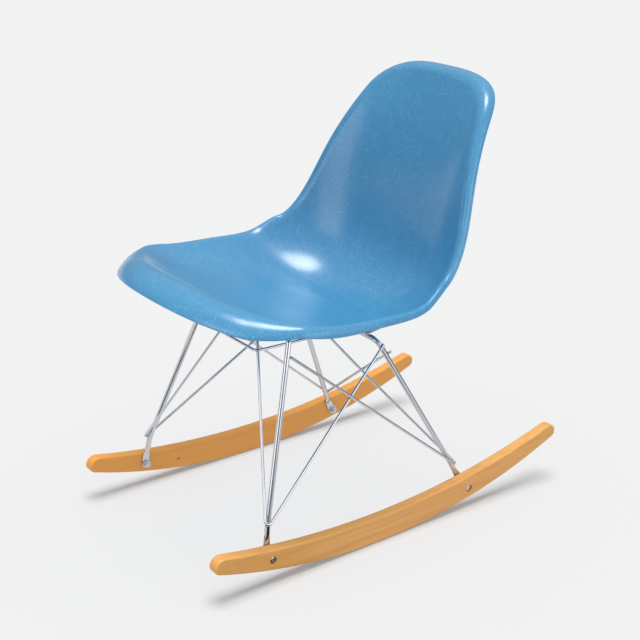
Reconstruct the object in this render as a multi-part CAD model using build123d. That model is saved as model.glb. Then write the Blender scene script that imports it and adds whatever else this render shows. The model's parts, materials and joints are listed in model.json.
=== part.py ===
from build123d import *
import os
import numpy as np

# Rocking chair: a moulded shell on a bent-rod base, bolted to two bowed wooden rockers.
# Millimetres. +Z up, the sitter faces -Y, X runs across the chair.
# Origin: on the floor, at the middle of the chair's length and width.

# ---------------------------------------------------------------- driving dimensions

# Shell. Knots of the centre line (y, z) from the front edge, under the seat, up the back.
CENTRE_LINE = [
    (-328, 455), (-282, 427), (-192, 381), (-92, 349),
    (14, 330), (96, 367), (153, 542), (205, 716),
]
STATION_FRACTIONS = [0, 0.18, 0.36, 0.54, 0.70, 0.85, 1]     # of the centre line's length
HALF_WIDTHS = [226, 232, 231, 217, 197, 162, 126]            # at those stations
SIDE_RISES = [8, 36, 78, 99, 68, 39, 0]                     # how far the sides stand above the middle
DISH_POWER = 2.82                # how late across the width the sides start to rise
FRONT_CORNER_LENGTH = 148        # stretch of centre line over which the plan rounds off
BACK_CORNER_LENGTH = 79          # and the same at the top of the back
BACK_CORNER_POWER = 3.1          # above 2, squarer than an ellipse
EDGE_ROLLS = [42.9, 38.2, 19.6, 19.6, 21.5]                  # radius of the rolled edge, front to top
EDGE_ROLL_FRACTIONS = [0, 0.065, 0.13, 0.8, 1]
SHELL_THICKNESS = 3.8
SURFACE_ROWS = 25                # points of the shell's skins, across and along
SURFACE_COLUMNS = 37

# Rods of the base
HEAVY_ROD = 8.6
THIN_ROD = 4.45
WELD_GAP = 0.03                  # left between rods that are welded where they touch
FOOT_GAP = 0.2                   # more of it where a leg is bent
SPRUNG_GAP = 0.12                # more of it where a sprung rod ends
FRONT_LEG_FOOT = (172, -249.7, 89.1)         # bend above the rocker
FRONT_BAR_END = (110.6, -172.3, 354.0)       # where leg and cross bar would meet if not bent
REAR_LEG_FOOT = (169.5, 128.2, 81.4)
REAR_BAR_END = (105.4, 7.2, 306.8)
FOOT_BEND = 25                   # bend radii, on the rod's axis
FRONT_BAR_BEND = 12
REAR_BAR_BEND = 20
EYE_DIAMETER = 15                # the flattened ends that the bolts pass through
EYE_THICKNESS = 3.8
EYE_HOLE = 6.6
NECK_START = 16                  # distance below the foot bend where the rod starts to flatten
NECK_END = 33
NECK_WIDTH = 13.2
NECK_THICKNESS = 3.6
TIE_CORNER = (55, -193.3, 316.3)
TIE_BEND = 8
HAIRPIN_BEND = 5
SPRUNG_BEND = 300                # the rear cross arms are sprung past each other
TIE_OVERHANG = 3                 # of the tie's arms past the rear bar
BRACE_NUB = 3                    # of a brace's end past its weld
CROSS_NUB = 7                    # of a rear brace's end past the far leg
FRONT_APEX_Z = 91.1              # where the front braces touch the front legs
FRONT_APEX_DROP = 14             # how far past that point the hairpin turns
FRONT_BRACE_AT_TIE = (50.8, -186.8, 314.1)   # where its inner arm passes the tie
FRONT_BRACE_OVERRUN = 0.151      # how much further that arm goes, up to the front bar
REAR_LEG_WELD_Z = 297.2          # where its outer arm ends, on the rear leg
REAR_APEX_Z = 80.4
REAR_APEX_DROP = 14
FRONT_LEG_WELD_Z = 328.1         # where a rear brace's outer arm ends, behind the front leg
CROSS_WELD_Z = 280.0             # and its inner arm, on the far rear leg
BUTT_OUTWARD = 2                 # from the front leg's axis to the end of the arm welded behind it
BUTT_SETBACK = 6                 # of that end, short of the leg's axis

# Rockers
ROCKER_INNER_X = 178.1
ROCKER_THICKNESS = 19
ROCKER_RADIUS = 1015             # underside
ROCKER_TOP_RADIUS = 1420
ROCKER_DEPTH = 45.8              # at the middle of its length
ROCKER_HALF_ANGLE = 20.88        # of the underside's arc
ROCKER_ROLL = 2.22               # the board's turn about its arc's centre: its rear end stands higher
CONTACT_Y = -36.8                # where the rockers touch the floor
ROCKER_LOW_END_ROUND = 11        # the lower and upper corners of its ends
ROCKER_HIGH_END_ROUND = 15
ROCKER_EDGE_ROUND = 3.4          # along both sides

# Rocker fasteners
EYE_INSET = 17.4                 # from the rocker's underside
FRONT_EYE_ANGLE = -12.66         # round the underside's arc, from the floor contact
REAR_EYE_ANGLE = 10.94
BOLT_DIAMETER = 6
BOLT_HOLE = 6.4
COUNTERBORE_DIAMETER = 12.6
FRONT_COUNTERBORE = 4.6
REAR_COUNTERBORE = 4.6
BOLT_HEAD_DIAMETER = 10.5
BOLT_HEAD_HEIGHT = 3.3
BOLT_HEAD_RIM = 1.15             # height of the head's straight edge
BOLT_CROWN_POINT = (4.4, 2.65)   # on the head's round shoulder: radius and height
BOLT_TOP_DIAMETER = 5.9          # flat top of the head
BOLT_LENGTH = 26
BOLT_CHAMFER = 0.7
HEX_SOCKET = 4                   # across flats
HEX_SOCKET_DEPTH = 2.2
WASHER_DIAMETER = 12
WASHER_THICKNESS = 1.2
NUT_ACROSS_FLATS = 10
NUT_HEIGHT = 5
NUT_CHAMFER_WIDTH = 1            # of the cone that cuts the nut's corners
NUT_CHAMFER_HEIGHT = 0.6
CUTTER_LENGTH = 60               # longer than anything that is bored through

# Seat mounts
FRONT_MOUNT_X = 78
REAR_MOUNT_X = 73
PLATE_WIDTH = 26
PLATE_THICKNESS = 2.5
PLATE_BEHIND_BAR = 28            # reach of the plate past its bar
PLATE_BEFORE_BAR = 6
PLATE_CORNER = 4
MOUNT_OFFSET = 14                # from the bar's axis to the mount's axis
MOUNT_FOOT_DIAMETER = 30
MOUNT_HEAD_DIAMETER = 37
MOUNT_FLARE_HEIGHT = 8
MOUNT_FOOT_CHAMFER = 1.2
MOUNT_REACH = 40                 # tall enough to pass through the shell before it is trimmed
INSERT_DIAMETER = 9
INSERT_HEIGHT = 8.5
INSERT_FLANGE_DIAMETER = 20
INSERT_FLANGE_THICKNESS = 1.6
INSERT_FLANGE_LIFT = 3
MOUNT_BORE_DEPTH = 12.8          # of the clear hole up into the rubber
MOUNT_SCREW_LENGTH = 10.5
CENTRE_LINE_STEPS = 400          # to find a place on the centre line

SIDES = {"right": 1, "left": -1}
STANDING_ON = (Align.CENTER, Align.CENTER, Align.MIN)        # a cylinder's foot at z = 0
STANDING_BELOW = (Align.CENTER, Align.CENTER, Align.MAX)     # its top at z = 0


def eye_place(angle):
    """Where a bolt passes through the rocker: y and z."""
    radius = ROCKER_RADIUS - EYE_INSET
    turn = np.radians(angle)
    return CONTACT_Y + radius * np.sin(turn), ROCKER_RADIUS - radius * np.cos(turn)


front_eye = eye_place(FRONT_EYE_ANGLE)
rear_eye = eye_place(REAR_EYE_ANGLE)
bolts = ((front_eye, FRONT_COUNTERBORE), (rear_eye, REAR_COUNTERBORE))
heavy_radius = HEAVY_ROD / 2
thin_radius = THIN_ROD / 2


# ---------------------------------------------------------------- small helpers

def smooth_curve(places, values):
    """Natural cubic spline through the values; returns a function of place and derivative order."""
    places = np.array(places, float)
    values = np.array(values, float)
    steps = np.diff(places)
    last = len(places) - 1
    matrix = np.eye(last + 1)
    right = np.zeros_like(values)
    for i in range(1, last):
        matrix[i, i - 1:i + 2] = steps[i - 1], 2 * (steps[i - 1] + steps[i]), steps[i]
        slope_after = (values[i + 1] - values[i]) / steps[i]
        slope_before = (values[i] - values[i - 1]) / steps[i - 1]
        right[i] = 6 * (slope_after - slope_before)
    bend = np.linalg.solve(matrix, right)

    def value(place, order=0):
        i = int(np.clip(np.searchsorted(places, place) - 1, 0, last - 1))
        a = (places[i + 1] - place) / steps[i]
        b = 1 - a
        third = steps[i] ** 2 / 6
        if order == 0:
            cubic = (a**3 - a) * bend[i] + (b**3 - b) * bend[i + 1]
            return a * values[i] + b * values[i + 1] + cubic * third
        slope = (values[i + 1] - values[i]) / steps[i]
        return slope + ((1 - 3 * a * a) * bend[i] + (3 * b * b - 1) * bend[i + 1]) * steps[i] / 6

    return value


def unit(vector):
    return vector / np.linalg.norm(vector)


def mirrored(point):
    across, along, up = tuple(point)
    return (-across, along, up)


def toward(start, end, distance):
    """The point at a distance from start, on the line to end."""
    return Vector(*start) + (Vector(*end) - Vector(*start)).normalized() * distance


def on_line(start, end, z):
    """The point at height z on the line through start and end."""
    start, end = Vector(*start), Vector(*end)
    return start + (end - start) * ((z - start.Z) / (end.Z - start.Z))


def beside(point, rod_direction, other_direction, spacing):
    """Where a rod's axis passes another rod's point, the two touching: spacing's sign picks the side."""
    normal = Vector(*rod_direction).cross(Vector(*other_direction)).normalized()
    return Vector(*point) + normal * spacing


def rod(points, bends, diameter):
    path = FilletPolyline(*points, radius=bends)
    section = Plane(origin=path @ 0, z_dir=path % 0) * Circle(diameter / 2)
    return sweep(section, path=path)


# ---------------------------------------------------------------- seat shell

knots = np.array(CENTRE_LINE, float)
knot_places = np.concatenate([[0], np.cumsum(np.hypot(*np.diff(knots, axis=0).T))])
shell_length = knot_places[-1]
stations = [fraction * shell_length for fraction in STATION_FRACTIONS]
centre_y = smooth_curve(knot_places, knots[:, 0])
centre_z = smooth_curve(knot_places, knots[:, 1])
half_width = smooth_curve(stations, HALF_WIDTHS)
side_rise = smooth_curve(stations, SIDE_RISES)


def outline_half_width(place):
    """Half the shell's width with its rounded corners, at a distance along the centre line."""
    front = np.clip(place / FRONT_CORNER_LENGTH, 0, 1)
    back = np.clip((shell_length - place) / BACK_CORNER_LENGTH, 0, 1)
    front_rounding = np.sqrt(max(1 - (1 - front) ** 2, 1e-9))
    back_rounding = max(1 - (1 - back) ** BACK_CORNER_POWER, 1e-9) ** (1 / BACK_CORNER_POWER)
    return half_width(place) * front_rounding * back_rounding


def inset_measure(across, place):
    """Zero on the shell's outline and growing inwards."""
    along = 2 * place / shell_length - 1
    return (1 - along**2) * (1 - (across / outline_half_width(place)) ** 2)


def centre_normal(place):
    tangent = unit(np.array([centre_y(place, 1), centre_z(place, 1)]))
    return np.array([0, -tangent[1], tangent[0]])


def dish_point(across, place):
    """The inner skin without its rolled edge."""
    rise = side_rise(place) * (abs(across) / half_width(place)) ** DISH_POWER
    return np.array([across, centre_y(place), centre_z(place)]) + centre_normal(place) * rise


def shell_point(a, b):
    """Points of the inner and outer skins; a and b run from -1 to 1 across and along the shell."""
    step = 0.3
    disc_x = a * np.sqrt(1 - b * b / 2)
    disc_y = np.clip(b * np.sqrt(1 - a * a / 2), -1 + 1e-7, 1 - 1e-7)
    place = shell_length * (1 + disc_y) / 2
    across = disc_x * outline_half_width(place) / np.sqrt(1 - disc_y**2)
    after = min(place + step, shell_length)
    before = max(place - step, 0)
    slope_x = (inset_measure(across + step, place) - inset_measure(across - step, place)) / (2 * step)
    slope_s = (inset_measure(across, after) - inset_measure(across, before)) / (after - before)
    steepness = np.hypot(slope_x, slope_s) + 1e-12
    inset = max(inset_measure(across, place) / steepness, 0)
    roll = np.interp(place / shell_length, EDGE_ROLL_FRACTIONS, EDGE_ROLLS)
    sine = np.clip(1 - inset / roll, 0, 1)
    cosine = np.sqrt(1 - sine**2)
    inner = dish_point(across, place) - centre_normal(place) * roll * (1 - cosine)
    across_way = unit(dish_point(across + step, place) - dish_point(across - step, place))
    along_way = unit(dish_point(across, place + step) - dish_point(across, place - step))
    face_normal = unit(np.cross(across_way, along_way))
    outward = -(slope_x * across_way + slope_s * along_way)
    outward = outward - face_normal * outward.dot(face_normal)
    normal = face_normal
    if sine > 0:
        normal = cosine * face_normal + sine * unit(outward)
    return inner, inner - SHELL_THICKNESS * normal


def make_seat_shell():
    rows = np.sin(np.linspace(-np.pi / 2, np.pi / 2, SURFACE_ROWS))
    columns = np.sin(np.linspace(-np.pi / 2, np.pi / 2, SURFACE_COLUMNS))
    grid = [[shell_point(a, b) for b in columns] for a in rows]
    skins = []
    for layer in (0, 1):
        points = [[Vector(*pair[layer]) for pair in row] for row in grid]
        skins.append(Face.make_surface_from_array_of_points(points, tol=0.05, min_deg=3, max_deg=3))
    rims = []
    for upper in skins[0].outer_wire().edges():
        middle = upper @ 0.5
        lower = min(skins[1].outer_wire().edges(), key=lambda edge: (edge @ 0.5 - middle).length)
        rims.append(Face.make_surface_from_curves(upper, lower))
    shell = Shell(skins + rims)
    return Solid(shell)


# ---------------------------------------------------------------- rod base

def make_hoop(foot, bar_end, bar_bend, eye_at):
    """Two legs and their cross bar in one bent rod, with an eye flattened at each end."""
    eye_x = ROCKER_INNER_X - EYE_THICKNESS / 2 - WELD_GAP
    eye = Vector(eye_x, *eye_at)
    down = (eye - Vector(*foot)).normalized()
    neck_start = Vector(*foot) + down * NECK_START
    points = [neck_start, foot, bar_end, mirrored(bar_end), mirrored(foot), mirrored(neck_start)]
    hoop = rod(points, [FOOT_BEND, bar_bend, bar_bend, FOOT_BEND], HEAVY_ROD)
    flat_down = Vector(0, down.Y, down.Z).normalized()
    neck_length = (eye - Vector(*foot)).length - NECK_END
    neck_end = eye - flat_down * neck_length
    round_end = Plane(origin=neck_start, x_dir=(1, 0, 0), z_dir=-down) * Circle(heavy_radius)
    flat_end = Plane(origin=neck_end, x_dir=(1, 0, 0), z_dir=-flat_down)
    flat_end = flat_end * Ellipse(NECK_THICKNESS / 2, NECK_WIDTH / 2)
    neck = loft([flat_end, round_end])
    neck += extrude(flat_end, amount=-neck_length)
    disc = Pos(eye) * Rot(0, 90, 0) * Cylinder(EYE_DIAMETER / 2, EYE_THICKNESS)
    hole = Pos(eye) * Rot(0, 90, 0) * Cylinder(EYE_HOLE / 2, CUTTER_LENGTH)
    end = (neck + disc) - hole
    return hoop + end + mirror(end, about=Plane.YZ)


rod_spacing = heavy_radius + thin_radius + WELD_GAP      # of a thin rod's axis from the heavy rod it is on
front_up = Vector(*FRONT_BAR_END) - Vector(*FRONT_LEG_FOOT)
rear_up = Vector(*REAR_BAR_END) - Vector(*REAR_LEG_FOOT)


def make_front_brace(side):
    """Hairpin outside a front leg's foot: one arm to the tie and front bar, one to the rear leg."""
    rear_top = on_line(REAR_LEG_FOOT, REAR_BAR_END, REAR_LEG_WELD_Z)
    foot = on_line(FRONT_LEG_FOOT, FRONT_BAR_END, FRONT_APEX_Z)
    rearward = rear_top - foot
    outer_foot = beside(foot, front_up, rearward, -rod_spacing - FOOT_GAP)
    outer_top = beside(rear_top, rear_up, rearward, -rod_spacing)
    corner = toward(outer_foot, outer_top, -FRONT_APEX_DROP)
    tip = toward(outer_top, outer_foot, -BRACE_NUB)
    tie_pass = Vector(*FRONT_BRACE_AT_TIE)
    inner_tip = tie_pass + (tie_pass - corner) * FRONT_BRACE_OVERRUN
    points = [inner_tip, corner, tip]
    points = [(point.X * side, point.Y, point.Z) for point in points]
    return rod(points, [HAIRPIN_BEND], THIN_ROD)


def make_rear_brace(side):
    """Hairpin outside a rear leg's foot: one arm to the front leg, one across to the far rear leg."""
    foot = on_line(REAR_LEG_FOOT, REAR_BAR_END, REAR_APEX_Z)
    front_top = on_line(FRONT_LEG_FOOT, FRONT_BAR_END, FRONT_LEG_WELD_Z)
    forward = front_top - foot
    outer_foot = beside(foot, rear_up, forward, rod_spacing + FOOT_GAP)
    butt = front_top + Vector(BUTT_OUTWARD, 0, 0)
    corner = toward(outer_foot, butt, -REAR_APEX_DROP)
    tip = toward(butt, outer_foot, BUTT_SETBACK)
    far_leg = on_line(mirrored(REAR_LEG_FOOT), mirrored(REAR_BAR_END), CROSS_WELD_Z)
    far_up = Vector(*mirrored(rear_up))
    crossing_way = far_leg - corner
    far_side = beside(far_leg, far_up, crossing_way, -rod_spacing - SPRUNG_GAP)
    far_tip = toward(far_side, corner, -CROSS_NUB)
    lift = far_up.cross(crossing_way).normalized()
    middle = corner + (far_side - corner) * (corner.X / (corner.X - far_side.X))
    middle = middle + lift * (side * (thin_radius + WELD_GAP))
    points = [tip, corner, middle, far_tip]
    points = [(point.X * side, point.Y, point.Z) for point in points]
    return rod(points, [HAIRPIN_BEND, SPRUNG_BEND], THIN_ROD)


def make_tie_rod():
    """A U under the seat: a cross run in front and two arms resting on the rear bar."""
    corner_x, corner_y, corner_z = TIE_CORNER
    bar_y, bar_z = REAR_BAR_END[1], REAR_BAR_END[2]
    rear = (corner_x, bar_y + TIE_OVERHANG, bar_z + rod_spacing)
    points = [rear, TIE_CORNER, mirrored(TIE_CORNER), mirrored(rear)]
    return rod(points, [TIE_BEND, TIE_BEND], THIN_ROD)


# ---------------------------------------------------------------- rockers and their fasteners

def rocker_outline():
    """The board's side: two arcs closer together at the ends, which are cut square and rounded."""
    half = np.radians(ROCKER_HALF_ANGLE)
    centres_apart = ROCKER_DEPTH + ROCKER_TOP_RADIUS - ROCKER_RADIUS
    reach = np.sqrt(ROCKER_TOP_RADIUS**2 - (centres_apart * np.sin(half)) ** 2) - centres_apart * np.cos(half)
    low_y, low_z = ROCKER_RADIUS * np.sin(half), ROCKER_RADIUS * (1 - np.cos(half))
    high_y, high_z = reach * np.sin(half), ROCKER_RADIUS - reach * np.cos(half)
    under = ThreePointArc((-low_y, low_z), (0, 0), (low_y, low_z))
    over = ThreePointArc((high_y, high_z), (0, ROCKER_DEPTH), (-high_y, high_z))
    ends = [Line((low_y, low_z), (high_y, high_z)), Line((-high_y, high_z), (-low_y, low_z))]
    outline = make_face([under, ends[0], over, ends[1]])
    outline = fillet(outline.vertices().sort_by(Axis.Y)[:2], ROCKER_LOW_END_ROUND)
    outline = fillet(outline.vertices().sort_by(Axis.Y)[-2:], ROCKER_HIGH_END_ROUND)
    turn = Pos(0, ROCKER_RADIUS) * Rot(0, 0, ROCKER_ROLL) * Pos(0, -ROCKER_RADIUS)
    return Pos(CONTACT_Y, 0) * turn * outline


def make_rocker(side):
    """A bowed board, thickest at its middle, with two counterbored bolt holes."""
    board = extrude(Plane.YZ.offset(ROCKER_INNER_X) * rocker_outline(), amount=ROCKER_THICKNESS)
    long_edges = board.faces().filter_by(Axis.X).edges()
    board = fillet(long_edges, ROCKER_EDGE_ROUND)
    outer_x = ROCKER_INNER_X + ROCKER_THICKNESS
    for place, depth in bolts:
        board -= Pos(outer_x, *place) * Rot(0, 90, 0) * Cylinder(BOLT_HOLE / 2, CUTTER_LENGTH)
        recess = Cylinder(COUNTERBORE_DIAMETER / 2, depth, align=STANDING_BELOW)
        board -= Pos(outer_x, *place) * Rot(0, 90, 0) * recess
    if side < 0:
        board = mirror(board, about=Plane.YZ)
    return board


def at_the_eyes(front_piece, rear_piece):
    """The pieces at the right rocker's two bolts, and their mirror images on the left."""
    right = [Pos(0, *front_eye) * front_piece, Pos(0, *rear_eye) * rear_piece]
    return Compound(children=right + [mirror(piece, about=Plane.YZ) for piece in right])


def hexagon_prism(across_flats, height):
    return extrude(RegularPolygon(across_flats / 2, 6, major_radius=False), amount=height)


def socket_screw(length):
    """Button-headed screw along +Z: the head's underside at zero, the shank below it."""
    rim = BOLT_HEAD_DIAMETER / 2
    edge = Polyline((0, 0), (rim, 0), (rim, BOLT_HEAD_RIM))
    crown = ThreePointArc(edge @ 1, BOLT_CROWN_POINT, (BOLT_TOP_DIAMETER / 2, BOLT_HEAD_HEIGHT))
    profile = make_face([edge, crown, Polyline(crown @ 1, (0, BOLT_HEAD_HEIGHT), (0, 0))])
    head = revolve(Plane.XZ * profile, Axis.Z)
    head -= Pos(0, 0, BOLT_HEAD_HEIGHT - HEX_SOCKET_DEPTH) * hexagon_prism(HEX_SOCKET, BOLT_HEAD_HEIGHT)
    shank = Cylinder(BOLT_DIAMETER / 2, length, align=STANDING_BELOW)
    return head + chamfer(shank.edges().sort_by(Axis.Z)[0], BOLT_CHAMFER)


def washer():
    ring = Cylinder(WASHER_DIAMETER / 2, WASHER_THICKNESS, align=STANDING_ON)
    return ring - Cylinder(BOLT_HOLE / 2, CUTTER_LENGTH)


def rocker_screw(counterbore):
    """Along +X, its head in the counterbore of the right rocker."""
    seat_x = ROCKER_INNER_X + ROCKER_THICKNESS - counterbore
    return Pos(seat_x, 0, 0) * Rot(0, 90, 0) * socket_screw(BOLT_LENGTH)


eye_face_x = ROCKER_INNER_X - EYE_THICKNESS - WELD_GAP


def rocker_washer():
    return Pos(eye_face_x, 0, 0) * Rot(0, -90, 0) * washer()


def rocker_nut():
    """A hexagon with its corners cut by a cone at each end, on the washer's inner face."""
    flat = NUT_ACROSS_FLATS / 2
    corner = flat + NUT_CHAMFER_WIDTH
    shoulders = [(corner, NUT_CHAMFER_HEIGHT), (corner, NUT_HEIGHT - NUT_CHAMFER_HEIGHT)]
    outline = Polyline((0, 0), (flat, 0), *shoulders, (flat, NUT_HEIGHT), (0, NUT_HEIGHT), (0, 0))
    nut = hexagon_prism(NUT_ACROSS_FLATS, NUT_HEIGHT) & revolve(Plane.XZ * make_face(outline), Axis.Z)
    nut -= Cylinder(BOLT_DIAMETER / 2, CUTTER_LENGTH)
    return Pos(eye_face_x - WASHER_THICKNESS, 0, 0) * Rot(0, -90, 0) * nut


# ---------------------------------------------------------------- seat mounts

def mount_plane(end):
    """The plane a mount is built on: z square to the seat, y rearwards, origin on the bar's axis."""
    bar_y, bar_z = (FRONT_BAR_END if end == "front" else REAR_BAR_END)[1:]
    places = np.linspace(0, shell_length, CENTRE_LINE_STEPS)
    place = min(places, key=lambda s: abs(centre_y(s) - bar_y - MOUNT_OFFSET))
    normal = centre_normal(place)
    mount_x = FRONT_MOUNT_X if end == "front" else REAR_MOUNT_X
    return Plane(origin=(mount_x, bar_y, bar_z), x_dir=(1, 0, 0), z_dir=tuple(normal))


def make_plate(plane):
    """A flat tab lying on its bar, with the mount's hole behind the bar."""
    middle = (PLATE_BEHIND_BAR - PLATE_BEFORE_BAR) / 2
    length = PLATE_BEHIND_BAR + PLATE_BEFORE_BAR
    outline = Pos(0, middle) * RectangleRounded(PLATE_WIDTH, length, PLATE_CORNER)
    outline -= Pos(0, MOUNT_OFFSET) * Circle(BOLT_HOLE / 2)
    return plane.offset(heavy_radius + WELD_GAP) * extrude(outline, amount=PLATE_THICKNESS)


def on_mount_axis(plane, lift, up=1):
    """A plane on a mount's axis, at a height above the bar's axis, facing the seat or the floor."""
    origin = plane.from_local_coords((0, MOUNT_OFFSET, lift))
    return Plane(origin=origin, x_dir=plane.x_dir, z_dir=plane.z_dir * up)


def mount_base(plane):
    """The mount's own plane: on the plate's upper face, centred on its hole."""
    return on_mount_axis(plane, heavy_radius + WELD_GAP + PLATE_THICKNESS)


def mount_bore():
    return Cylinder(BOLT_DIAMETER / 2 + WELD_GAP, 2 * MOUNT_BORE_DEPTH)


def make_insert(base):
    """A threaded bush with a flange, moulded into the rubber."""
    bush = Cylinder(INSERT_DIAMETER / 2, INSERT_HEIGHT, align=STANDING_ON)
    flange = Cylinder(INSERT_FLANGE_DIAMETER / 2, INSERT_FLANGE_THICKNESS, align=STANDING_ON)
    return base * ((bush + Pos(0, 0, INSERT_FLANGE_LIFT) * flange) - mount_bore())


def make_shock_mount(base, shell, insert):
    """A rubber puck, wider at the seat, trimmed to the shell's outer skin where it is bonded."""
    flare = np.degrees(np.arctan2((MOUNT_HEAD_DIAMETER - MOUNT_FOOT_DIAMETER) / 2, MOUNT_FLARE_HEIGHT))
    body = extrude(Circle(MOUNT_FOOT_DIAMETER / 2), amount=MOUNT_FLARE_HEIGHT, taper=-flare)
    body = chamfer(body.edges().sort_by(Axis.Z)[0], MOUNT_FOOT_CHAMFER)
    head = Cylinder(MOUNT_HEAD_DIAMETER / 2, MOUNT_REACH - MOUNT_FLARE_HEIGHT, align=STANDING_ON)
    body += Pos(0, 0, MOUNT_FLARE_HEIGHT) * head
    trimmed = (base * body) - shell
    puck = trimmed.solids().sort_by(Axis.Z)[0]
    cleared = puck - insert - base * mount_bore()
    return cleared.solids().sort_by(SortBy.VOLUME)[-1]


def make_mount_washer(plane):
    return on_mount_axis(plane, heavy_radius + WELD_GAP, up=-1) * washer()


def make_mount_screw(plane):
    lift = heavy_radius + WELD_GAP - WASHER_THICKNESS
    return on_mount_axis(plane, lift, up=-1) * socket_screw(MOUNT_SCREW_LENGTH)


# ---------------------------------------------------------------- the whole chair

def make_chair():
    nodes = {}
    shell = make_seat_shell()
    nodes["seat_shell"] = shell
    nodes["front_hoop"] = make_hoop(FRONT_LEG_FOOT, FRONT_BAR_END, FRONT_BAR_BEND, front_eye)
    nodes["rear_hoop"] = make_hoop(REAR_LEG_FOOT, REAR_BAR_END, REAR_BAR_BEND, rear_eye)
    nodes["tie_rod"] = make_tie_rod()
    screws, washers, inserts = [], [], []
    for side_name, side in SIDES.items():
        nodes[f"front_brace_{side_name}"] = make_front_brace(side)
        nodes[f"rear_brace_{side_name}"] = make_rear_brace(side)
        nodes[f"rocker_{side_name}"] = make_rocker(side)
    for end in ("front", "rear"):
        plane = mount_plane(end)
        insert = make_insert(mount_base(plane))
        right = {
            "shock_mount": make_shock_mount(mount_base(plane), shell, insert),
            "mount_plate": make_plate(plane),
        }
        for name, piece in right.items():
            nodes[f"{name}_{end}_right"] = piece
            nodes[f"{name}_{end}_left"] = mirror(piece, about=Plane.YZ)
        fasteners = [insert, make_mount_washer(plane), make_mount_screw(plane)]
        for group, piece in zip((inserts, washers, screws), fasteners):
            group += [piece, mirror(piece, about=Plane.YZ)]
    nodes["mount_inserts"] = Compound(children=inserts)
    nodes["mount_washers"] = Compound(children=washers)
    nodes["mount_screws"] = Compound(children=screws)
    nodes["rocker_screws"] = at_the_eyes(rocker_screw(FRONT_COUNTERBORE), rocker_screw(REAR_COUNTERBORE))
    nodes["rocker_washers"] = at_the_eyes(rocker_washer(), rocker_washer())
    nodes["rocker_nuts"] = at_the_eyes(rocker_nut(), rocker_nut())
    return nodes


if __name__ == "__main__":
    os.makedirs("parts", exist_ok=True)
    for node_name, node_shape in make_chair().items():
        export_step(node_shape, f"parts/{node_name}.step")
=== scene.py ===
import json
import math

import bmesh
import bpy
import numpy as np
from mathutils import Matrix, Vector
from mathutils.bvhtree import BVHTree


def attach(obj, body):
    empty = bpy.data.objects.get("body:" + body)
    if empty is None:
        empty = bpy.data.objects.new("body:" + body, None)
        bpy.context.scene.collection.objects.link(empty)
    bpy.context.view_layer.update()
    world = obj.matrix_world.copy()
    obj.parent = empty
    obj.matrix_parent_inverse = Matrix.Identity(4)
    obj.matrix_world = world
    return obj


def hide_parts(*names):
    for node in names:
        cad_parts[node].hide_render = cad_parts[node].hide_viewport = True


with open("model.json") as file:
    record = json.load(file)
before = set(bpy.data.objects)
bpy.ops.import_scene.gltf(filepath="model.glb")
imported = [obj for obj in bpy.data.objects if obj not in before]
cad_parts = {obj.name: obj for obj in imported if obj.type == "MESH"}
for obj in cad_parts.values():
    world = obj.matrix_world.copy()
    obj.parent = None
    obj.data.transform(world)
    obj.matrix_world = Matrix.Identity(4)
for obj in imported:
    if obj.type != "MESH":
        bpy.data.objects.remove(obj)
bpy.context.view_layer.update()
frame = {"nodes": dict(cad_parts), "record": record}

MM = 0.001

# ---------------------------------------------------------------- the shell's shape, as in the CAD model

# The seat's middle seen from the side, front to top: y and z in mm.
CENTRE_LINE = [
    (-328, 455), (-282, 427), (-192, 381), (-92, 349),
    (14, 330), (96, 367), (153, 542), (205, 716),
]
# Places along that line, and the half width and the rise of the sides at each, in mm.
STATION_FRACTIONS = [0, 0.18, 0.36, 0.54, 0.70, 0.85, 1]
HALF_WIDTHS = [226, 232, 231, 217, 197, 162, 126]
SIDE_RISES = [8, 36, 78, 99, 68, 39, 0]
DISH_POWER = 2.82
FRONT_CORNER_LENGTH = 148 * MM
BACK_CORNER_LENGTH = 79 * MM
BACK_CORNER_POWER = 3.1
EDGE_ROLLS = [42.9, 38.2, 19.6, 19.6, 21.5]      # radius of the rolled edge in mm, at the fractions below
EDGE_ROLL_FRACTIONS = [0, 0.065, 0.13, 0.8, 1]
SHELL_THICKNESS = 3.8 * MM
SHELL_ROWS = 181                 # points across the shell, and along it
SHELL_COLUMNS = 241
OUTLINE_STEP = 0.3 * MM          # for slopes taken by differences
STRAND_CORE = 0.0005 * 0.4       # a fibre's half width at full strength, and where it has faded out
STRAND_EDGE = 0.0005
RIM_STEPS = 8                    # facets round the half-circle of the shell's cut edge

# ---------------------------------------------------------------- camera and studio

CAMERA_AT = (1.463, -1.2004, 1.0431)
CAMERA_AZIMUTH = 51.25
CAMERA_ELEVATION = 21.25
CAMERA_ROLL = 2.18
CAMERA_LENS = 69.17
FLOOR_SIZE = 60
FLOOR_ALBEDO = (0.3, 0.3, 0.3, 1)
HORIZON = (0.20, 0.21, 0.23, 1)
ZENITH = (0.72, 0.73, 0.74, 1)
KEY = 2.12                       # overhead light on the chair
KEY_SPREAD = 24
ROCKER_KEY = 0.6                 # overhead light on the rockers that the seat does not shade
FLOOR_WASH = 2.38                # light on the floor that nothing shades
FLOOR_KEY = 5.0                 # light on the floor that the rockers shade
FLOOR_KEY_SPREAD = 34
FRONT_BOX = {"at": (0.3, -2.05, 1.05), "size": (1.0, 1.5), "power": 9}
SIDE_BOX = {"at": (2.4, 0.5, 1.1), "size": (2.0, 1.6), "power": 17}
FLAG_TONE = (0.02, 0.022, 0.028, 1)
FLAG_LIFT = 0.5 * MM
AIM = (0, 0, 0.35)               # what the box lights face, in metres
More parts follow.
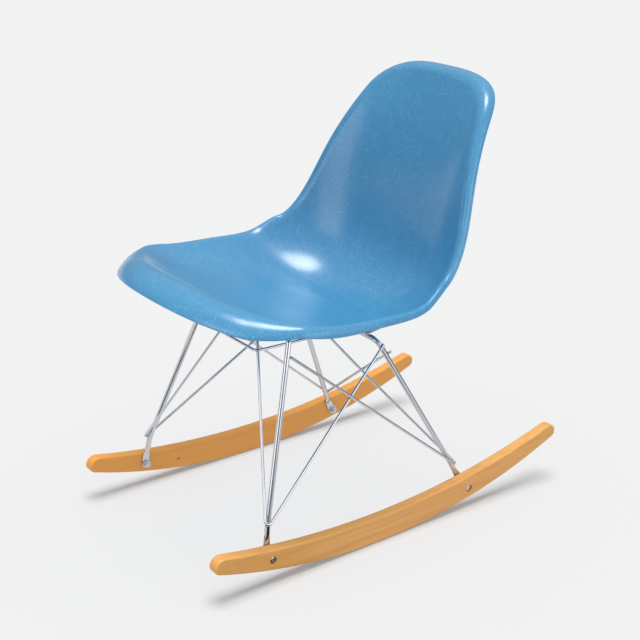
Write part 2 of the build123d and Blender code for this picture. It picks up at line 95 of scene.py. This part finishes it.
# Dark cards lying on the floor, seen only in reflections: middle, size and turn in degrees.
FLAGS = [
    ((-0.75, 0.35), (1.1, 0.45), 20),
    ((0.75, 0.55), (1.0, 0.40), -35),
    ((0.05, -1.0), (0.5, 0.9), 0),
    ((0.72, -0.58), (0.32, 1.3), 51),
]
KNOT_AT = (-0.178, -0.1320, 0.0293)  # on the left board's inner side, with y drawn in by 0.7
WELD_RADIUS = 3.3 * MM
WELD_REACH = 1.2 * MM            # how close two skins come at a weld
WELD_APART = 14 * MM             # spots nearer than this are one weld
WELD_SEED = 7
WELD_PAIRS = [("front_hoop", "tie_rod"), ("rear_hoop", "tie_rod"), ("rear_brace_right", "rear_brace_left")]
for side_name in ("right", "left"):
    brace_names = (f"front_brace_{side_name}", f"rear_brace_{side_name}")
    WELD_PAIRS += [(hoop, brace) for hoop in ("front_hoop", "rear_hoop") for brace in brace_names]
    WELD_PAIRS += [("tie_rod", f"front_brace_{side_name}")]
    WELD_PAIRS += [(f"{end}_hoop", f"mount_plate_{end}_{side_name}") for end in ("front", "rear")]


# ---------------------------------------------------------------- small helpers

def smooth_curve(places, values):
    """Natural cubic spline through the values; returns a function of place and derivative order."""
    places = np.array(places, float)
    values = np.array(values, float)
    steps = np.diff(places)
    last = len(places) - 1
    matrix = np.eye(last + 1)
    right = np.zeros_like(values)
    for i in range(1, last):
        matrix[i, i - 1:i + 2] = steps[i - 1], 2 * (steps[i - 1] + steps[i]), steps[i]
        right[i] = 6 * ((values[i + 1] - values[i]) / steps[i] - (values[i] - values[i - 1]) / steps[i - 1])
    bend = np.linalg.solve(matrix, right)

    def value(place, order=0):
        i = np.clip(np.searchsorted(places, place) - 1, 0, last - 1)
        width = steps[i]
        a = (places[i + 1] - place) / width
        b = 1 - a
        if order == 0:
            cubic = (a**3 - a) * bend[i] + (b**3 - b) * bend[i + 1]
            return a * values[i] + b * values[i + 1] + cubic * width**2 / 6
        slope = (values[i + 1] - values[i]) / width
        return slope + ((1 - 3 * a * a) * bend[i] + (3 * b * b - 1) * bend[i + 1]) * width / 6

    return value


def unit(vectors):
    return vectors / np.linalg.norm(vectors, axis=-1, keepdims=True)


def dot(first, second):
    return (first * second).sum(-1, keepdims=True)


def new_object(name, vertices, faces, material):
    """A smooth-shaded piece riding on the chair's one body."""
    mesh = bpy.data.meshes.new(name)
    mesh.from_pydata([tuple(v) for v in vertices], [], faces)
    mesh.polygons.foreach_set("use_smooth", [True] * len(mesh.polygons))
    mesh.update()
    piece = bpy.data.objects.new(name, mesh)
    bpy.context.scene.collection.objects.link(piece)
    mesh.materials.append(material)
    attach(piece, "root")
    return piece


# ---------------------------------------------------------------- shader helpers

class Shader:
    """A node material, or the world's nodes, with short calls for adding and linking nodes."""

    def __init__(self, name=None, tree=None):
        if tree is None:
            self.material = bpy.data.materials.new(name)
            self.material.use_nodes = True
            tree = self.material.node_tree
        self.tree = tree
        self.surface = tree.nodes.get("Principled BSDF")

    def add(self, kind, inputs=None, **attributes):
        node = self.tree.nodes.new("ShaderNode" + kind)
        for key, value in attributes.items():
            setattr(node, key, value)
        for key, value in (inputs or {}).items():
            self.give(node.inputs[key], value)
        return node

    def give(self, socket, value):
        if isinstance(value, bpy.types.NodeSocket):
            self.tree.links.new(value, socket)
        else:
            socket.default_value = value

    def set(self, **values):
        for key, value in values.items():
            self.give(self.surface.inputs[key.replace("_", " ")], value)

    def math(self, operation, first, second=0.0, clamp=False):
        node = self.add("Math", {0: first, 1: second}, operation=operation, use_clamp=clamp)
        return node.outputs[0]

    def vector(self, operation, first, second=(0, 0, 0)):
        node = self.add("VectorMath", {0: first, 1: second}, operation=operation)
        return node.outputs["Value" if operation in ("DOT_PRODUCT", "LENGTH") else "Vector"]

    def scaled(self, vector, factor):
        node = self.add("VectorMath", {0: vector, "Scale": factor}, operation="SCALE")
        return node.outputs["Vector"]

    def ramp(self, value, low, high):
        """0 below low, 1 above high, and a smooth step between."""
        limits = {"Value": value, "From Min": low, "From Max": high}
        node = self.add("MapRange", limits, interpolation_type="SMOOTHSTEP")
        return node.outputs["Result"]

    def span(self, value, low, high):
        """Maps 0..1 onto low..high."""
        return self.add("MapRange", {"Value": value, "To Min": low, "To Max": high}).outputs["Result"]

    def mix(self, factor, first, second, blend_type="MIX"):
        node = self.add("Mix", data_type="RGBA", blend_type=blend_type)
        self.give(node.inputs["Factor"], factor)
        self.give(node.inputs["A"], first)
        self.give(node.inputs["B"], second)
        return next(out for out in node.outputs if out.type == "RGBA")

    def noise(self, vector, scale, detail=2.0, roughness=0.5):
        inputs = {"Vector": vector, "Scale": scale, "Detail": detail, "Roughness": roughness}
        return self.add("TexNoise", inputs).outputs[0]

    def position(self, scale=(1, 1, 1), turn=(0, 0, 0), move=(0, 0, 0)):
        where = self.add("TexCoord").outputs["Object"]
        inputs = {"Vector": where, "Scale": scale, "Rotation": turn, "Location": move}
        return self.add("Mapping", inputs).outputs["Vector"]

    def bump(self, height, distance, strength=1.0):
        node = self.add("Bump", {"Height": height, "Distance": distance, "Strength": strength})
        return node.outputs["Normal"]


# ---------------------------------------------------------------- materials

def strand_layer(shader, cells, offset):
    """Short straight fibres lying in the surface: one for each cell of a random pattern, at a random turn."""
    where = shader.position(move=offset)
    pattern = shader.add("TexVoronoi", {"Vector": where, "Scale": cells, "Randomness": 1.0})
    normal = shader.add("NewGeometry").outputs["Normal"]
    away = shader.vector("SUBTRACT", where, pattern.outputs["Position"])
    random = shader.vector("SUBTRACT", pattern.outputs["Color"], (0.5, 0.5, 0.5))
    lift = shader.vector("DOT_PRODUCT", random, normal)
    flat = shader.vector("NORMALIZE", shader.vector("SUBTRACT", random, shader.scaled(normal, lift)))
    depth = shader.vector("DOT_PRODUCT", away, normal)
    away = shader.vector("SUBTRACT", away, shader.scaled(normal, depth))
    along = shader.vector("DOT_PRODUCT", away, flat)
    aside = shader.vector("LENGTH", shader.vector("SUBTRACT", away, shader.scaled(flat, along)))
    return shader.math("SUBTRACT", 1.0, shader.ramp(aside, STRAND_CORE, STRAND_EDGE))


def fibreglass():
    """Pigmented polyester with chopped glass strands showing faintly through a glossy gel."""
    shader = Shader("fibreglass")
    strands = strand_layer(shader, 105, (0, 0, 0))
    for cells, offset in ((150, (3.1, 1.7, 0.4)), (85, (7.7, 2.9, 5.3))):
        strands = shader.math("ADD", strands, strand_layer(shader, cells, offset))
    patches = shader.ramp(shader.noise(shader.position(), 60, 2), 0.42, 0.62)
    strands = shader.math("MULTIPLY", strands, shader.span(patches, 0.12, 0.42), clamp=True)
    cloud = shader.noise(shader.position(), 8, 3)
    mottle = shader.noise(shader.position(), 130, 2, 0.5)
    body = shader.mix(cloud, (0.039, 0.228, 0.430, 1), (0.052, 0.254, 0.463, 1))
    lighter = shader.math("MULTIPLY", shader.ramp(mottle, 0.25, 0.75), 0.25)
    body = shader.mix(lighter, body, (0.064, 0.274, 0.490, 1))
    colour = shader.mix(strands, body, (0.150, 0.410, 0.650, 1))
    wave = shader.noise(shader.position(), 14, 2)
    roughness = shader.span(mottle, 0.27, 0.29)
    shader.set(Base_Color=colour, Roughness=roughness, Coat_Weight=0.3, Coat_Roughness=0.16)
    shader.set(Specular_IOR_Level=0.5, Normal=shader.bump(wave, 0.0003, 0.3))
    return shader.material


def wood():
    """Lacquered honey-coloured wood, its grain along the board. The left board is warmer and has a knot."""
    shader = Shader("wood")
    drift = shader.noise(shader.position((1, 0.25, 1)), 5, 2)
    bands_at = shader.position((1, 0.022, 1), turn=(0.03, 0, 0))
    bands = shader.noise(bands_at, 170, 4, 0.6)
    fine = shader.noise(shader.position((1, 0.02, 1)), 520, 3, 0.6)
    flecks = shader.noise(shader.position((1, 0.04, 1)), 900, 2, 0.5)
    body = shader.mix(drift, (0.626, 0.285, 0.062, 1), (0.727, 0.365, 0.098, 1))
    dark_grain = shader.math("MULTIPLY", shader.ramp(bands, 0.38, 0.7), 0.42)
    body = shader.mix(dark_grain, body, (0.50, 0.200, 0.040, 1))
    pale_grain = shader.math("MULTIPLY", shader.ramp(fine, 0.45, 0.75), 0.35)
    body = shader.mix(pale_grain, body, (0.78, 0.430, 0.140, 1))
    pores = shader.math("MULTIPLY", shader.ramp(flecks, 0.64, 0.72), 0.3)
    place = shader.add("SeparateXYZ", {"Vector": shader.position()}).outputs["X"]
    left_board = shader.math("SUBTRACT", 1.0, shader.ramp(place, -0.05, 0.05))
    body = shader.mix(shader.math("MULTIPLY", left_board, 0.6), body, (0.76, 0.300, 0.030, 1))
    away = shader.vector("SUBTRACT", shader.position((1, 0.7, 1)), KNOT_AT)
    knot = shader.math("SUBTRACT", 1.0, shader.ramp(shader.vector("LENGTH", away), 0.0012, 0.0035))
    body = shader.mix(shader.math("MULTIPLY", knot, 0.8), body, (0.20, 0.060, 0.012, 1))
    colour = shader.mix(pores, body, (0.33, 0.140, 0.040, 1))
    height = shader.math("ADD", shader.math("MULTIPLY", bands, 0.4), shader.math("MULTIPLY", fine, 0.3))
    roughness = shader.span(bands, 0.36, 0.50)
    shader.set(Base_Color=colour, Roughness=roughness, Coat_Weight=0.12, Coat_Roughness=0.2)
    shader.set(Normal=shader.bump(height, 0.0003, 0.25))
    return shader.material


def plated(name, tone, low, high, scale=60):
    """Bright zinc or chrome plate: slightly uneven polish and colour."""
    shader = Shader(name)
    cloud = shader.noise(shader.position(), scale, 3)
    darker = (tone * 0.90, tone * 0.93, tone, 1)
    brighter = (tone * 0.97, tone * 0.98, tone * 1.04, 1)
    colour = shader.mix(cloud, darker, brighter)
    polish = shader.noise(shader.position((1, 1, 0.3)), 400, 2)
    shader.set(Base_Color=colour, Metallic=1.0, Roughness=shader.span(polish, low, high))
    return shader.material


def weld_metal():
    """Welds under the plating: rougher and a little darker than the rods."""
    shader = Shader("weld")
    ripple = shader.noise(shader.position(), 900, 3)
    colour = shader.mix(ripple, (0.50, 0.50, 0.52, 1), (0.78, 0.79, 0.81, 1))
    shader.set(Base_Color=colour, Metallic=1.0, Roughness=shader.span(ripple, 0.22, 0.40))
    shader.set(Normal=shader.bump(ripple, 0.0004, 0.6))
    return shader.material


def rubber():
    """Moulded black rubber with a dull bloom."""
    shader = Shader("rubber")
    bloom = shader.noise(shader.position(), 70, 3)
    pebble = shader.noise(shader.position(), 1600, 2)
    colour = shader.mix(bloom, (0.018, 0.018, 0.019, 1), (0.040, 0.040, 0.042, 1))
    roughness = shader.span(bloom, 0.55, 0.75)
    normal = shader.bump(pebble, 0.0001, 0.4)
    shader.set(Base_Color=colour, Roughness=roughness, Normal=normal)
    return shader.material


# ---------------------------------------------------------------- seat shell

class Dish:
    """The moulded seat: a surface over distances across and along its centre line."""

    def __init__(self):
        knots = np.array(CENTRE_LINE, float) * MM
        places = np.concatenate([[0], np.cumsum(np.hypot(*np.diff(knots, axis=0).T))])
        self.length = places[-1]
        stations = np.array(STATION_FRACTIONS) * self.length
        self.y = smooth_curve(places, knots[:, 0])
        self.z = smooth_curve(places, knots[:, 1])
        self.half_width = smooth_curve(stations, np.array(HALF_WIDTHS) * MM)
        self.side_rise = smooth_curve(stations, np.array(SIDE_RISES) * MM)

    def outline(self, place):
        """Half the width, with the rounded corners."""
        front = np.clip(place / FRONT_CORNER_LENGTH, 0, 1)
        back = np.clip((self.length - place) / BACK_CORNER_LENGTH, 0, 1)
        front_rounding = np.sqrt(np.maximum(1 - (1 - front) ** 2, 1e-9))
        back_rounding = np.maximum(1 - (1 - back) ** BACK_CORNER_POWER, 1e-9) ** (1 / BACK_CORNER_POWER)
        return self.half_width(place) * front_rounding * back_rounding

    def measure(self, across, place):
        """Zero on the outline and growing inwards."""
        along = 2 * place / self.length - 1
        return (1 - along**2) * (1 - (across / self.outline(place)) ** 2)

    def normal(self, place):
        """Square to the centre line, towards the sitter."""
        slope = unit(np.stack([self.y(place, 1), self.z(place, 1)], -1))
        return np.stack([np.zeros_like(place), -slope[..., 1], slope[..., 0]], -1)

    def point(self, across, place):
        """The inner skin without its rolled edge."""
        rise = self.side_rise(place) * (np.abs(across) / self.half_width(place)) ** DISH_POWER
        centre = np.stack([across, self.y(place), self.z(place)], -1)
        return centre + self.normal(place) * rise[..., None]

    def skins(self, a, b):
        """Inner and outer skins for a and b from -1 to 1, and the direction in which the edge points."""
        step = OUTLINE_STEP
        disc_x = a * np.sqrt(1 - b * b / 2)
        disc_y = np.clip(b * np.sqrt(1 - a * a / 2), -1 + 1e-7, 1 - 1e-7)
        place = self.length * (1 + disc_y) / 2
        across = disc_x * self.outline(place) / np.sqrt(1 - disc_y**2)
        after = np.minimum(place + step, self.length)
        before = np.maximum(place - step, 0)
        slope_x = (self.measure(across + step, place) - self.measure(across - step, place)) / (2 * step)
        slope_s = (self.measure(across, after) - self.measure(across, before)) / (after - before)
        inset = np.maximum(self.measure(across, place) / (np.hypot(slope_x, slope_s) + 1e-9), 0)
        roll = np.interp(place / self.length, EDGE_ROLL_FRACTIONS, np.array(EDGE_ROLLS) * MM)
        sine = np.clip(1 - inset / roll, 0, 1)
        cosine = np.sqrt(1 - sine**2)
        drop = self.normal(place) * (roll * (1 - cosine))[..., None]
        inner = self.point(across, place) - drop
        across_way = unit(self.point(across + step, place) - self.point(across - step, place))
        along_way = unit(self.point(across, place + step) - self.point(across, place - step))
        face = unit(np.cross(across_way, along_way))
        outward = -(slope_x[..., None] * across_way + slope_s[..., None] * along_way)
        outward = outward - face * dot(outward, face)
        outward = outward / (np.linalg.norm(outward, axis=-1, keepdims=True) + 1e-12)
        normal = cosine[..., None] * face + sine[..., None] * outward
        edge_way = sine[..., None] * -face + cosine[..., None] * outward
        return inner, inner - SHELL_THICKNESS * normal, edge_way


def make_shell(material):
    """The shell as one closed mesh, with its cut edge rounded."""
    rows, columns = SHELL_ROWS, SHELL_COLUMNS
    a = np.sin(np.linspace(-np.pi / 2, np.pi / 2, rows))
    b = np.sin(np.linspace(-np.pi / 2, np.pi / 2, columns))
    grid_a, grid_b = np.meshgrid(a, b, indexing="ij")
    inner, outer, edge_way = Dish().skins(grid_a, grid_b)
    ring = [(0, j) for j in range(columns - 1)] + [(i, columns - 1) for i in range(rows - 1)]
    ring += [(rows - 1, j) for j in range(columns - 1, 0, -1)] + [(i, 0) for i in range(rows - 1, 0, -1)]
    vertices = list(inner.reshape(-1, 3)) + list(outer.reshape(-1, 3))
    count = rows * columns

    def at(i, j, layer):
        return i * columns + j + layer * count

    faces = []
    for i in range(rows - 1):
        for j in range(columns - 1):
            quad = [(i, j), (i + 1, j), (i + 1, j + 1), (i, j + 1)]
            faces.append([at(*corner, 0) for corner in quad])
            faces.append([at(*corner, 1) for corner in reversed(quad)])
    strips = [[at(i, j, 0) for i, j in ring]]
    for k in range(1, RIM_STEPS):
        turn = math.pi * k / RIM_STEPS
        strip = []
        for i, j in ring:
            middle = (inner[i, j] + outer[i, j]) / 2
            reach = (inner[i, j] - outer[i, j]) / 2
            bulge = edge_way[i, j] * np.linalg.norm(reach)
            strip.append(len(vertices))
            vertices.append(middle + reach * math.cos(turn) + bulge * math.sin(turn))
        strips.append(strip)
    strips.append([at(i, j, 1) for i, j in ring])
    for upper, lower in zip(strips, strips[1:]):
        for k in range(len(ring)):
            after = (k + 1) % len(ring)
            faces.append([upper[k], upper[after], lower[after], lower[k]])
    shell = new_object("shell", vertices, faces, material)
    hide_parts("seat_shell")
    return shell


# ---------------------------------------------------------------- welds

def weld_places(first, second):
    """Where two pieces of the frame touch: the middles of the spots where their skins come close."""
    tree = BVHTree.FromObject(frame["nodes"][second], bpy.context.evaluated_depsgraph_get())
    spots = []
    for vertex in frame["nodes"][first].data.vertices:
        near = tree.find_nearest(vertex.co, WELD_REACH)[0]
        if near is None:
            continue
        spot = (vertex.co + near) / 2
        home = next((s for s in spots if (s[0] / s[1] - spot).length < WELD_APART), None)
        if home is None:
            spots.append([spot.copy(), 1])
        else:
            home[0] += spot
            home[1] += 1
    return [total / number for total, number in spots]


def make_welds(material):
    """A small lumpy bead at every spot where two pieces of the frame are welded."""
    random = np.random.default_rng(WELD_SEED)
    mesh = bmesh.new()
    for first, second in WELD_PAIRS:
        for spot in weld_places(first, second):
            bead = bmesh.ops.create_icosphere(mesh, subdivisions=3, radius=1)["verts"]
            squash = random.uniform(0.75, 1.1, 3)
            swirl = random.uniform(0, 2 * math.pi, 3)
            turn = Matrix.Rotation(swirl[0], 3, "X") @ Matrix.Rotation(swirl[1], 3, "Z")
            for vertex in bead:
                way = vertex.co.copy()
                ripple = 1 + 0.10 * math.sin(5 * way.x + swirl[0]) * math.sin(4 * way.y + swirl[1])
                ripple += 0.06 * math.sin(9 * way.z + swirl[2])
                shape = Vector([way[i] * squash[i] for i in range(3)])
                vertex.co = spot + turn @ shape * WELD_RADIUS * ripple
    data = bpy.data.meshes.new("welds")
    mesh.to_mesh(data)
    mesh.free()
    data.polygons.foreach_set("use_smooth", [True] * len(data.polygons))
    data.materials.append(material)
    welds = bpy.data.objects.new("welds", data)
    bpy.context.scene.collection.objects.link(welds)
    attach(welds, "root")
    return welds


# ---------------------------------------------------------------- studio

def flat_stage(name, width, depth, centre, turn, shader):
    """A level rectangle of the studio."""
    half_x, half_y = width / 2, depth / 2
    corners = [(-half_x, -half_y, 0), (half_x, -half_y, 0), (half_x, half_y, 0), (-half_x, half_y, 0)]
    mesh = bpy.data.meshes.new(name)
    mesh.from_pydata(corners, [], [(0, 1, 2, 3)])
    mesh.materials.append(shader.material)
    sheet = bpy.data.objects.new(name, mesh)
    sheet.matrix_world = Matrix.Translation(centre) @ Matrix.Rotation(math.radians(turn), 4, "Z")
    bpy.context.scene.collection.objects.link(sheet)
    return sheet


def make_floor():
    shader = Shader("floor")
    shader.set(Base_Color=FLOOR_ALBEDO, Roughness=1.0, Specular_IOR_Level=0.0)
    return flat_stage("floor", FLOOR_SIZE, FLOOR_SIZE, (0, 0, 0), 0, shader)


def make_flags():
    """Dark cards that only the plated rods and glossy surfaces mirror."""
    shader = Shader("flag")
    shader.set(Base_Color=FLAG_TONE, Roughness=1.0, Specular_IOR_Level=0.0)
    for number, (middle, size, turn) in enumerate(FLAGS):
        flag = flat_stage(f"flag_{number}", *size, (*middle, FLAG_LIFT), turn, shader)
        flag.visible_camera = False
        flag.visible_diffuse = False
        flag.visible_shadow = False


def make_world():
    world = bpy.data.worlds.new("studio")
    bpy.context.scene.world = world
    world.use_nodes = True
    shader = Shader(tree=world.node_tree)
    background = world.node_tree.nodes["Background"]
    way = shader.add("TexCoord").outputs["Generated"]
    height = shader.add("SeparateXYZ", {"Vector": way}).outputs["Z"]
    shader.give(background.inputs["Color"], shader.mix(shader.ramp(height, 0.0, 0.8), HORIZON, ZENITH))


def group_of(name, objects):
    collection = bpy.data.collections.new(name)
    for item in objects:
        collection.objects.link(item)
    return collection


def make_light(name, kind, power, lit, shading=None):
    """A light on one group of things, shaded by another group or by everything."""
    data = bpy.data.lights.new(name, kind)
    data.energy = power
    light = bpy.data.objects.new(name, data)
    bpy.context.scene.collection.objects.link(light)
    light.light_linking.receiver_collection = lit
    if shading:
        light.light_linking.blocker_collection = shading
    return light


def make_box_light(name, box, lit):
    light = make_light(name, "AREA", box["power"], lit)
    light.data.shape = "RECTANGLE"
    light.data.size, light.data.size_y = box["size"]
    away = Vector(box["at"]) - Vector(AIM)
    light.matrix_world = Matrix.Translation(box["at"]) @ away.to_track_quat("Z", "Y").to_matrix().to_4x4()


def make_lights(floor):
    chair = [item for item in bpy.context.scene.objects if item.type == "MESH" and item != floor]
    chair_group = group_of("chair_group", chair)
    floor_group = group_of("floor_group", [floor])
    rockers = group_of("rocker_group", [frame["nodes"]["rocker_right"], frame["nodes"]["rocker_left"]])
    make_light("key", "SUN", KEY, chair_group).data.angle = math.radians(KEY_SPREAD)
    make_light("rocker_key", "SUN", ROCKER_KEY, rockers, rockers).data.angle = math.radians(KEY_SPREAD)
    make_light("floor_wash", "SUN", FLOOR_WASH, floor_group, floor_group)
    floor_key = make_light("floor_key", "SUN", FLOOR_KEY, floor_group, rockers)
    floor_key.data.angle = math.radians(FLOOR_KEY_SPREAD)
    make_box_light("front_box", FRONT_BOX, chair_group)
    make_box_light("side_box", SIDE_BOX, chair_group)


def make_camera():
    azimuth, elevation, roll = (math.radians(v) for v in (CAMERA_AZIMUTH, CAMERA_ELEVATION, CAMERA_ROLL))
    level = math.cos(elevation)
    forward = Vector((-math.sin(azimuth) * level, math.cos(azimuth) * level, -math.sin(elevation)))
    right = Vector((math.cos(azimuth), math.sin(azimuth), 0))
    up = right.cross(forward)
    right, up = (right * math.cos(roll) + up * math.sin(roll), up * math.cos(roll) - right * math.sin(roll))
    camera = bpy.data.objects.new("camera", bpy.data.cameras.new("camera"))
    camera.data.lens = CAMERA_LENS
    camera.data.sensor_width = 36
    camera.data.clip_end = 100
    turn = Matrix((right, up, -forward)).transposed().to_4x4()
    camera.matrix_world = Matrix.Translation(CAMERA_AT) @ turn
    bpy.context.scene.collection.objects.link(camera)
    bpy.context.scene.camera = camera


# ---------------------------------------------------------------- build

bpy.context.scene.view_settings.view_transform = "Standard"
make_camera()
make_world()
FLOOR = make_floor()
make_flags()

FIBREGLASS = fibreglass()
HEAVY = plated("heavy_rod", 0.66, 0.06, 0.12)
THIN = plated("thin_rod", 0.66, 0.05, 0.11)
SLOT_MATERIALS = {
    "fibreglass": FIBREGLASS,
    "heavy_rod": HEAVY,
    "thin_rod": THIN,
    "plate_steel": plated("plate_steel", 0.64, 0.24, 0.38),
    "fastener_steel": plated("fastener_steel", 0.64, 0.20, 0.34, 150),
    "rubber": rubber(),
    "wood": wood(),
}
for part in frame["record"]["subparts"]:
    node = frame["nodes"][part["node"]]
    node.data.materials.clear()
    node.data.materials.append(SLOT_MATERIALS[part["material_slot"]])

make_shell(FIBREGLASS)
make_welds(weld_metal())
make_lights(FLOOR)
